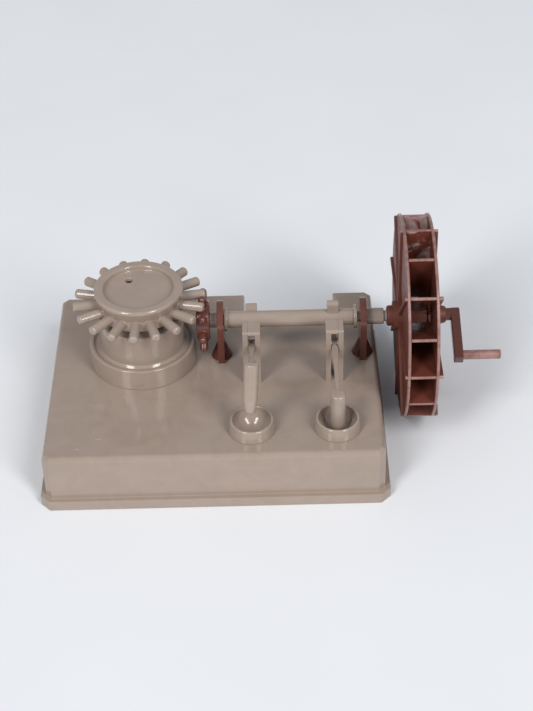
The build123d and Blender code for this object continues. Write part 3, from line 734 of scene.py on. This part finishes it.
@dataclass
class Mill(Assembly):
    """Round basin, fixed lower stone, and the pin wheel that turns on it."""

    hub_bore: float = 2.03
    basin_radius: float = 19.6
    basin_draft: float = 0.3
    basin_top: float = 30.3
    trough: float = 29.3
    rim_width: float = 1.2
    wall: float = 2.0
    dot_height: float = 2.6
    stone_radius: float = 15.4
    stone_foot: float = 0.8
    stone_top: float = 42.2
    neck_radius: float = 9.0
    neck_top: float = 44.6
    wheel_low: float = 44.8
    wheel_radius: float = 14.6
    wheel_flare: float = 1.4
    wheel_flank_top: float = 49.0
    wheel_top: float = 54.2
    wheel_wall: float = 1.4
    skirt_wall: float = 1.9
    dish_radius: float = 12.35
    dish_depth: float = 1.9
    hub_radius: float = 4.2
    turning_bore: float = 2.08
    pin_count: int = 18
    pin_radius: float = 1.75
    pin_reach: float = 23.9
    pin_root: float = 0.9
    pin_flare: float = 0.3
    pin_tip_round: float = 1.0
    pin_height: float = 47.9
    first_pin: float = 7.6
    feed_hole: Triple = (7.3, 121.0, 1.35)
    feed_edges: Triple = (0.25, 1.3, 2.2)

    def place(self) -> Matrix:
        """Placing matrix about the mill's upright axis."""
        return self.upright(self.mill_x, self.shaft_y)

    def build_basin(self) -> None:
        """Build the basin, with a rounded rim, a soft foot and the sprue dot low on its front."""
        base, bore, radius = self.base_top, self.hub_bore, self.basin_radius
        outer = radius - self.basin_draft
        inner = outer - self.rim_width
        piece = self.tan("mill_basin_shell", Body.ROOT)
        piece.lathe([
            Corner(bore, self.trough), Corner(inner - 1.0, self.trough, 0.8),
            Corner(inner, self.basin_top, 0.45), Corner(outer, self.basin_top, 0.5),
            Corner(radius, base, 0.3), Corner(radius - self.wall, base),
            Corner(radius - self.wall, self.trough - self.wall),
            Corner(bore, self.trough - self.wall),
        ], self.place(), segments=128)
        on_wall = Vector((self.mill_x, self.shaft_y - radius + 0.05, base + self.dot_height))
        dot = (Matrix.Translation(on_wall * MM) @ Matrix.Rotation(RIGHT_ANGLE, 4, "X")
               @ Matrix.Scale(MM, 4))
        piece.lathe([Corner(0, -0.3), Corner(0.6, -0.3), Corner(0.6, 0.2, 0.15), Corner(0, 0.25)],
                    dot, False, 16)
        piece.finished("mill_basin")

    def build_stone(self) -> None:
        """Build the fixed lower stone with its neck."""
        top, low = self.stone_top, self.trough
        piece = self.tan("mill_lower_stone", Body.ROOT)
        piece.lathe([
            Corner(self.hub_bore, low), Corner(self.stone_radius + self.stone_foot, low),
            Corner(self.stone_radius, low + self.stone_foot, 0.9),
            Corner(self.stone_radius, top, 0.8),
            Corner(self.neck_radius, top, 0.3), Corner(self.neck_radius, self.neck_top, 0.2),
            Corner(self.hub_bore, self.neck_top),
        ], self.place(), segments=128)
        piece.finished("mill_bedstone")

    def build_wheel(self) -> None:
        """Build the pin wheel: a cap with a broad rolled rim, a dish and the feed hole."""
        low, top, radius = self.wheel_low, self.wheel_top, self.wheel_radius
        dish = top - self.dish_depth
        ceiling = dish - self.wheel_wall
        outer = radius + self.wheel_flare
        part = bmesh.new()
        profile = rounded([
            Corner(0, dish), Corner(4.0, dish), Corner(10.5, dish),
            Corner(self.dish_radius, dish, 0.3), Corner(self.dish_radius + 0.25, top, 0.8),
            Corner(outer, top, 0.9), Corner(outer, dish + 0.6, 0.6),
            Corner(radius, self.wheel_flank_top, 3.2),
            Corner(radius, low, 0.25), Corner(radius - self.skirt_wall, low),
            Corner(radius - self.skirt_wall, ceiling, 0.8), Corner(self.hub_radius, ceiling, 0.4),
            Corner(self.hub_radius, low), Corner(self.turning_bore, low),
            Corner(self.turning_bore, ceiling), Corner(0, ceiling),
        ], closed=False, steps=7)
        lathe(part, profile, self.place(), False, 128)
        cap = outward(part, "cap")
        piece = self.tan("mill_pin_wheel_cap", Body.MILL)
        piece.take(self.drilled(cap, dish))
        piece.take(self.pins())
        piece.finished("mill_pin_wheel")

    def drilled(self, cap: Mesh, dish: float) -> Mesh:
        """Cap with the feed hole cut through its dish, wider below and rounded at its mouth."""
        distance, angle, radius = self.feed_hole
        spot = cmath.rect(distance, math.radians(angle))
        mouth, land, relief = self.feed_edges
        cutter = bmesh.new()
        flare = [complex(radius + mouth * (1 - math.cos(t)), dish - mouth * (1 - math.sin(t)))
                 for t in quarter(5)]
        column = [complex(0, dish - 3.0), complex(relief, dish - 3.0),
                  complex(relief, dish - land), complex(radius, dish - land), *flare,
                  complex(radius + mouth, dish + 1), complex(0, dish + 1)]
        place = self.upright(self.mill_x + spot.real, self.shaft_y + spot.imag)
        lathe(cutter, column, place, False, 40)
        return cut_away(cap, cutter)

    def pins(self) -> Mesh:
        """Ring of blunt pins, each with a fillet where it leaves the flank."""
        profile = stud(self.wheel_radius - self.pin_root, self.wheel_radius, self.pin_reach,
                       self.pin_radius, self.pin_flare, self.pin_tip_round, 5)
        return ring_of_studs(profile, self.shop.tan, self.pin_count, self.first_pin,
                             (self.mill_x, self.shaft_y, self.pin_height), Turn.UPRIGHT, 32)

    def build(self) -> None:
        """Build every piece of the mill and dress its spindle."""
        self.build_basin()
        self.build_stone()
        self.build_wheel()
        dress(("mill_spindle",), self.shop.tan)


@dataclass
class Uprights(Assembly):
    """The two bearing plates for the shaft, each with a cone around its foot."""

    sides: tuple[str, ...] = ("left", "right")
    edge: float = 0.3

    def build(self) -> None:
        """Build both uprights."""
        for side in self.sides:
            node = f"upright_{side}"
            self.soften(self.brown(f"{node}_plate", Body.ROOT), node, self.edge)


@dataclass
class ShaftLine(Assembly):
    """Shaft with its collars and stub axles, the two cam bars and the loose sleeves."""

    axle_radius: float = 2.0
    axle_from: float = -6.1
    axle_to: float = 79.17
    tube_radius: float = 3.0
    tube: Pair = (3.9, 52.0)
    collar_radius: float = 4.3
    collar_width: float = 1.2
    cam_reach: float = 7.3
    cam_width: float = 4.2
    cam_thickness: float = 2.9
    cams: tuple[tuple[str, float], ...] = (("left", 10.0), ("right", 90.0))
    sleeves: tuple[tuple[str, float, float, float], ...] = (
        ("left", -1.3, 1.2, 2.8), ("right", 55.5, 61.7, 2.95))

    def build_shaft(self) -> None:
        """Build the shaft as one turned piece."""
        start, end = self.tube
        collar, width = self.collar_radius, self.collar_width
        piece = self.tan("drive_shaft", Body.SHAFT)
        piece.lathe([
            Corner(0, self.axle_from), Corner(self.axle_radius, self.axle_from, 0.25),
            Corner(self.axle_radius, start), Corner(collar, start, 0.25),
            Corner(collar, start + width, 0.25), Corner(self.tube_radius, start + width, 0.15),
            Corner(self.tube_radius, end - width, 0.15), Corner(collar, end - width, 0.25),
            Corner(collar, end, 0.25), Corner(self.axle_radius, end),
            Corner(self.axle_radius, self.axle_to), Corner(0, self.axle_to),
        ], self.on_shaft(), closed=False, segments=64)
        piece.finished("camshaft")

    def build_cams(self) -> None:
        """Build the round-ended bars pushed across the shaft."""
        half = self.cam_thickness / 2
        for x, (side, angle) in zip(self.gates_x, self.cams):
            right_end = round_end(self.cam_reach, half)
            outline = right_end + [-p for p in right_end]
            place = self.on_shaft(x) @ Matrix.Rotation(math.radians(angle), 4, "Z")
            piece = self.tan(f"cam_{side}", Body.SHAFT)
            piece.prism(outline, -self.cam_width / 2, self.cam_width / 2, place, 0.3)
            piece.finished(f"cam_bar_{side}")

    def build_sleeves(self) -> None:
        """Build the loose sleeves beside the uprights."""
        for side, start, end, radius in self.sleeves:
            piece = self.tan(f"sleeve_{side}", Body.SHAFT)
            piece.lathe(sleeve(self.axle_radius, radius, start, end, 0.2), self.on_shaft(),
                        segments=48)
            piece.finished(f"shaft_spacer_{side}")

    def build(self) -> None:
        """Build the shaft, cams and sleeves."""
        self.build_shaft()
        self.build_cams()
        self.build_sleeves()


@dataclass
class PegGear(Assembly):
    """Small thick disc with round-tipped pegs that push the mill's pins."""

    left: float = -6.1
    right: float = -1.3
    radius: float = 7.1
    bore: float = 2.03
    edge: float = 0.6
    peg_count: int = 8
    peg_radius: float = 1.5
    peg_reach: float = 11.6
    peg_root: float = 1.5
    peg_flare: float = 0.45
    flare_sink: float = 0.1
    first_peg: float = 97.5

    def build(self) -> None:
        """Build the disc and its ring of pegs."""
        piece = self.brown("peg_gear_disc", Body.SHAFT)
        piece.lathe(sleeve(self.bore, self.radius, self.left, self.right, self.edge),
                    self.on_shaft(), segments=72)
        profile = stud(self.radius - self.peg_root, self.radius - self.flare_sink, self.peg_reach,
                       self.peg_radius, self.peg_flare, self.peg_radius, 4)
        centre = ((self.left + self.right) / 2, self.shaft_y, self.shaft_z)
        piece.take(ring_of_studs(profile, self.shop.brown, self.peg_count, self.first_peg, centre,
                                 Turn.ALONG_SHAFT, 28))
        piece.finished("peg_gear")


@dataclass
class HammerGates(Assembly):
    """Roofed pairs of legs that carry the hammers' pivot pins."""

    sides: tuple[str, ...] = ("left", "right")
    edge: float = 0.18

    def build(self) -> None:
        """Build both gates and dress their pins."""
        for side in self.sides:
            for node in (f"gate_frame_{side}", f"gate_cheek_{side}"):
                self.soften(self.tan(f"{node}_leg", Body.ROOT), node, self.edge)
            dress((f"hammer_pivot_{side}",), self.shop.tan)


@dataclass
class Hammers(Assembly):
    """Tapered levers with pestles socketed on their ends."""

    # side, body, degrees that the lever is raised, degrees that the pestle leans
    sides: tuple[tuple[str, Body, float, float], ...] = (
        ("left", Body.HAMMER_LEFT, 23.5, 3.5), ("right", Body.HAMMER_RIGHT, 0.0, 0.0))
    pivot_z: float = 36.5
    reach: float = 29.6
    lever_edge: float = 0.25
    pestle_radius: float = 2.65
    pestle_top: float = 1.6
    foot: float = -15.9
    foot_radius: float = 1.8
    taper: float = 5.5

    def pestle_place(self, x: float, lift: float, lean: float) -> Matrix:
        """Placing matrix of a pestle, whose origin is on the line through the lever's pivot."""
        raised, leaned = math.radians(lift), math.radians(lean)
        forward = Vector((0, -math.cos(raised), math.sin(raised)))
        upward = (Vector((0, math.sin(raised), math.cos(raised))) * math.cos(leaned)
                  + Vector((math.sin(leaned), 0, 0)))
        centre = (Vector((x, self.gate_y, self.pivot_z)) + forward * self.reach) * MM
        return (Matrix.Translation(centre) @ upward.to_track_quat("Z", "Y").to_matrix().to_4x4()
                @ Matrix.Scale(MM, 4))

    def pestle_profile(self) -> list[Corner]:
        """Rod with a closed top, and a foot that an arc narrows."""
        narrowing = self.pestle_radius - self.foot_radius
        arc_radius = (self.taper**2 + narrowing**2) / (2 * narrowing)
        sweep = math.asin(self.taper / arc_radius)
        taper_top = self.foot + self.taper
        arc = [Corner(self.pestle_radius - arc_radius * (1 - math.cos(t)),
                      taper_top - arc_radius * math.sin(t))
               for t in (sweep * n / 6 for n in range(5, -1, -1))]
        return [Corner(0, self.foot), Corner(self.foot_radius, self.foot, 0.7), *arc,
                Corner(self.pestle_radius, self.pestle_top, 0.6), Corner(0, self.pestle_top)]

    def build(self) -> None:
        """Build both levers and pestles."""
        for x, (side, body, lift, lean) in zip(self.gates_x, self.sides):
            lever = self.tan(f"hammer_arm_{side}", body)
            self.soften(lever, f"hammer_lever_{side}", self.lever_edge)
            pestle = self.tan(f"pestle_rod_{side}", body)
            pestle.lathe(self.pestle_profile(), self.pestle_place(x, lift, lean), False, 48)
            pestle.finished(f"pestle_{side}")


@dataclass
class Mortars(Assembly):
    """Round-bowled cups in front of the gates."""

    sides: tuple[str, ...] = ("left", "right")
    rim_top: float = 26.9
    foot_radius: float = 8.3
    rim_radius: float = 7.6
    bowl_radius: float = 6.7
    lip: float = 0.5
    floor_wall: float = 1.1
    spigot_radius: float = 6.3

    def build(self) -> None:
        """Build both cups."""
        bowl_height = self.rim_top - self.lip
        floor = bowl_height - self.bowl_radius
        cup = [complex(self.bowl_radius * math.cos(t), bowl_height - self.bowl_radius * math.sin(t))
               for t in quarter(24)[:-1]]
        wall = rounded([
            Corner(self.bowl_radius, bowl_height), Corner(self.bowl_radius, self.rim_top, 0.34),
            Corner(self.rim_radius, self.rim_top, 0.5),
            Corner(self.foot_radius, self.base_top, 0.25),
            Corner(self.spigot_radius, self.base_top),
            Corner(self.spigot_radius, floor - self.floor_wall),
            Corner(0, floor - self.floor_wall),
        ], closed=False)
        for x, side in zip(self.mortars_x, self.sides):
            part = bmesh.new()
            profile = [complex(0, floor), *reversed(cup), *wall[1:]]
            lathe(part, profile, self.upright(x, self.mortar_y), False)
            piece = self.tan(f"mortar_cup_{side}", Body.ROOT)
            piece.close(part)
            piece.finished(f"mortar_{side}")


@dataclass
class WaterWheel(Assembly):
    """Two spoked rims with hubs and sixteen boards between them."""

    radius: float = 36.9
    rim_depth: float = 24.4
    rim_edge: float = 0.45
    left_rim: Pair = (67.7, 68.8)
    right_rim: Pair = (77.6, 78.7)
    left_spokes: Pair = (66.8, 68.8)
    right_spokes: Pair = (77.6, 80.1)
    spoke_count: int = 8
    first_angle: float = -1.0
    spoke_width: float = 1.5
    spoke_edge: float = 0.22
    # radius beyond which faces take the paler finish, a painted sheen for their highlights
    painted_sheen_from: float = 36.45
    left_hub: Triple = (62.8, 77.57, 3.75)
    left_flange: Triple = (65.0, 68.8, 5.4)
    cone_ends: Pair = (84.2, 2.9)
    cone_foot: float = 4.4
    bore: float = 2.03
    paddle_count: int = 16
    paddle_inner: float = 13.0
    paddle_thickness: float = 1.1
    paddle_span: Pair = (68.83, 77.57)

    def side(self, name: str, rim: Pair, spokes: Pair) -> Piece:
        """Start one side: its rim and its spokes, each given by their two faces along X."""
        piece = self.brown(name, Body.SHAFT, self.shop.dulled)
        inner, edge = self.radius - self.rim_depth, self.rim_edge
        piece.lathe([Corner(inner, rim[0], edge), Corner(self.radius, rim[0], edge),
                     Corner(self.radius, rim[1], edge), Corner(inner, rim[1], edge)],
                    self.on_shaft(), segments=160)
        half = self.spoke_width / 2
        item = bmesh.new()
        outline = [complex(self.bore, -half), *round_end(self.radius, half),
                   complex(self.bore, half)]
        prism(item, outline, *spokes, Matrix.Scale(MM, 4), self.spoke_edge)
        piece.take(self.ring(item, self.shop.brown, self.spoke_count, self.first_angle))
        return piece

    def hub(self, piece: Piece, sizes: Triple, edge: float) -> None:
        """Add a sleeve given by its start, end and radius, with its ends rounded."""
        start, end, radius = sizes
        piece.lathe(sleeve(self.bore, radius, start, end, edge), self.on_shaft(), segments=64)

    def paint_sheen(self, obj: bpy.types.Object) -> None:
        """Give a finished piece's outermost faces the paler finish, a painted sheen for the
        highlights on rims and board ends.
        """
        obj.data.materials.append(self.shop.painted_sheen)
        for face in obj.data.polygons:
            off_axis = math.hypot(face.center.y - self.shaft_y * MM,
                                  face.center.z - self.shaft_z * MM)
            face.material_index = int(off_axis > self.painted_sheen_from * MM)

    def build(self) -> None:
        """Build both sides and the ring of boards."""
        left = self.side("water_wheel_left_side", self.left_rim, self.left_spokes)
        self.hub(left, self.left_hub, 0.8)
        self.hub(left, self.left_flange, 0.3)
        self.paint_sheen(left.finished("wheel_side_left"))
        right = self.side("water_wheel_right_side", self.right_rim, self.right_spokes)
        tip, tip_radius = self.cone_ends
        low, high = self.right_rim
        right.lathe([Corner(self.bore, low), Corner(self.cone_foot, low),
                     Corner(self.cone_foot, high, 0.3), Corner(tip_radius, tip, 0.4),
                     Corner(self.bore, tip)], self.on_shaft(), segments=64)
        self.paint_sheen(right.finished("wheel_side_right"))
        half = self.paddle_thickness / 2
        board = bar(self.paddle_inner, self.radius, half, 0.3)
        item = bmesh.new()
        prism(item, board, *self.paddle_span, Matrix.Scale(MM, 4), 0.0)
        paddles = self.brown("water_wheel_boards", Body.SHAFT, self.shop.rippled)
        paddles.take(self.ring(item, self.shop.rippled, self.paddle_count, self.first_angle))
        self.paint_sheen(paddles.finished(*(f"paddle_{n:02d}" for n in range(1, self.paddle_count + 1))))


@dataclass
class Crank(Assembly):
    """Flat arm with a spigot in the wheel's hub, and a plain pin for the hand."""

    arm: Pair = (85.9, 89.3)
    arm_width: float = 3.7
    arm_reach: float = 19.7
    angle: float = 200.0
    throw: float = 17.4
    neck: Triple = (84.2, 85.9, 2.3)
    spigot: Triple = (79.2, 84.2, 2.0)
    handle_end: float = 102.7
    handle_radius: float = 1.7
    edge: float = 0.4

    def build(self) -> None:
        """Build the arm with its neck, and the handle."""
        place = self.on_shaft() @ Matrix.Rotation(math.radians(self.angle), 4, "Z")
        half = self.arm_width / 2
        outline = bar(-half, self.arm_reach, half, 0.5)
        arm = self.brown("crank_bar", Body.SHAFT)
        arm.prism(outline, *self.arm, place, self.edge)
        for start, end, radius in (self.neck, self.spigot):
            arm.lathe(sleeve(0, radius, start - 0.05, end + 0.3, 0.0), self.on_shaft(),
                      False, 40)
        arm.finished("crank_arm")
        spot = Matrix.Translation(Vector((self.throw, 0, 0)))
        # The handle takes the paler finish, a painted highlight along the pin.
        handle = self.brown("crank_hand_pin", Body.SHAFT, self.shop.painted_sheen)
        handle.lathe([Corner(0, self.arm[1] - 0.5), Corner(self.handle_radius, self.arm[1] - 0.5),
                      Corner(self.handle_radius, self.handle_end, 0.45),
                      Corner(0, self.handle_end)], place @ spot, False, 40)
        handle.finished("crank_handle")


def dress(nodes: Sequence[str], material: Finish) -> None:
    """Give CAD nodes that stay as they are their finish."""
    for node in nodes:
        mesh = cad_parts[node].data
        mesh.materials.clear()
        mesh.materials.append(material)
        LOG.info("%s: kept from the frame", node)


# ---------------------------------------------------------------- studio


@dataclass
class Studio:
    """Pale floor, two soft boxes at the front corners, an even room, and the camera."""

    target: Triple = (18.745, 35.427, 0.0)
    distance: float = 649.14
    elevation: float = 38.88
    yaw: float = -0.0051
    roll: float = -0.0278
    lens: float = 84.3
    sensor: float = 36.0
    floor_half: float = 3000.0
    lamp_distance: float = 3000.0
    lamp_azimuths: Pair = (-37.0, 37.0)
    lamp_elevation: float = 40.0
    lamp_size: Pair = (740.0, 2100.0)
    lamp_power: float = 51.0
    room: str = "#E8EDF4"
    room_strength: float = 0.42

    def camera(self) -> None:
        """Place the camera where the object was seen from."""
        tilt = math.radians(self.elevation)
        ahead = Vector((math.sin(self.yaw) * math.cos(tilt), math.cos(self.yaw) * math.cos(tilt),
                        -math.sin(tilt)))
        level = Vector((math.cos(self.yaw), -math.sin(self.yaw), 0))
        upward = level.cross(ahead)
        right = level * math.cos(self.roll) + upward * math.sin(self.roll)
        up = upward * math.cos(self.roll) - level * math.sin(self.roll)
        data = bpy.data.cameras.new("camera")
        data.sensor_fit = "VERTICAL"
        data.sensor_height = self.sensor
        data.lens = self.lens
        data.clip_start = 0.01
        camera = linked("camera", data)
        place = Matrix((right, up, -ahead)).transposed().to_4x4()
        place.translation = (Vector(self.target) - ahead * self.distance) * MM
        camera.matrix_world = place
        bpy.context.scene.camera = camera

    def lamps(self) -> None:
        """Hang the two soft boxes, aimed at the middle of the object."""
        width, height = self.lamp_size
        aim = Vector((15.0, 0.0, 30.0)) * MM
        for number, azimuth in enumerate(self.lamp_azimuths):
            data = bpy.data.lights.new(f"softbox_{number}", "AREA")
            data.shape = "RECTANGLE"
            data.size, data.size_y = width * MM, height * MM
            data.energy = self.lamp_power
            lamp = linked(f"softbox_{number}", data)
            side, rise = math.radians(azimuth), math.radians(self.lamp_elevation)
            away = Vector((math.sin(side) * math.cos(rise), -math.cos(side) * math.cos(rise),
                           math.sin(rise)))
            lamp.location = aim + away * self.lamp_distance * MM
            lamp.rotation_euler = away.to_track_quat("Z", "Y").to_euler()

    def room_light(self) -> None:
        """Light the room evenly, as pale walls do."""
        world = bpy.data.worlds.new("pale_room")
        world.use_nodes = True
        tree = world.node_tree
        tree.nodes.clear()
        glow = add_node(tree, "ShaderNodeBackground",
                        {"Color": linear(self.room), "Strength": self.room_strength})
        add_node(tree, "ShaderNodeOutputWorld", {}, {"Surface": glow.outputs[0]})
        bpy.context.scene.world = world

    def floor(self) -> None:
        """Lay the pale floor."""
        half = self.floor_half * MM
        mesh = bpy.data.meshes.new("floor")
        mesh.from_pydata([(-half, -half, 0), (half, -half, 0), (half, half, 0), (-half, half, 0)],
                         [], [(0, 1, 2, 3)])
        mesh.materials.append(MattBoard().build())
        linked("floor", mesh)

    def build(self) -> None:
        """Set up the whole studio."""
        self.camera()
        self.lamps()
        self.room_light()
        self.floor()
        bpy.context.scene.view_settings.view_transform = "Standard"


def main() -> None:
    """Build every sub-assembly in order, then the studio, and log each piece as it is made."""
    logging.basicConfig(level=logging.INFO, format="%(name)s %(message)s")
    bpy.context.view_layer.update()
    shop = Workshop(*(finish.build() for finish in (TAN, BROWN, BROWN_RIPPLED, BROWN_DULLED,
                                                    BROWN_PAINTED_SHEEN)))
    for assembly in (BaseHousing, Mill, Uprights, ShaftLine, PegGear, HammerGates, Hammers,
                     Mortars, WaterWheel, Crank):
        assembly(shop).build()
        LOG.info("%s is built", assembly.__name__)
    Studio().build()


if __name__ == "__main__":
    main()
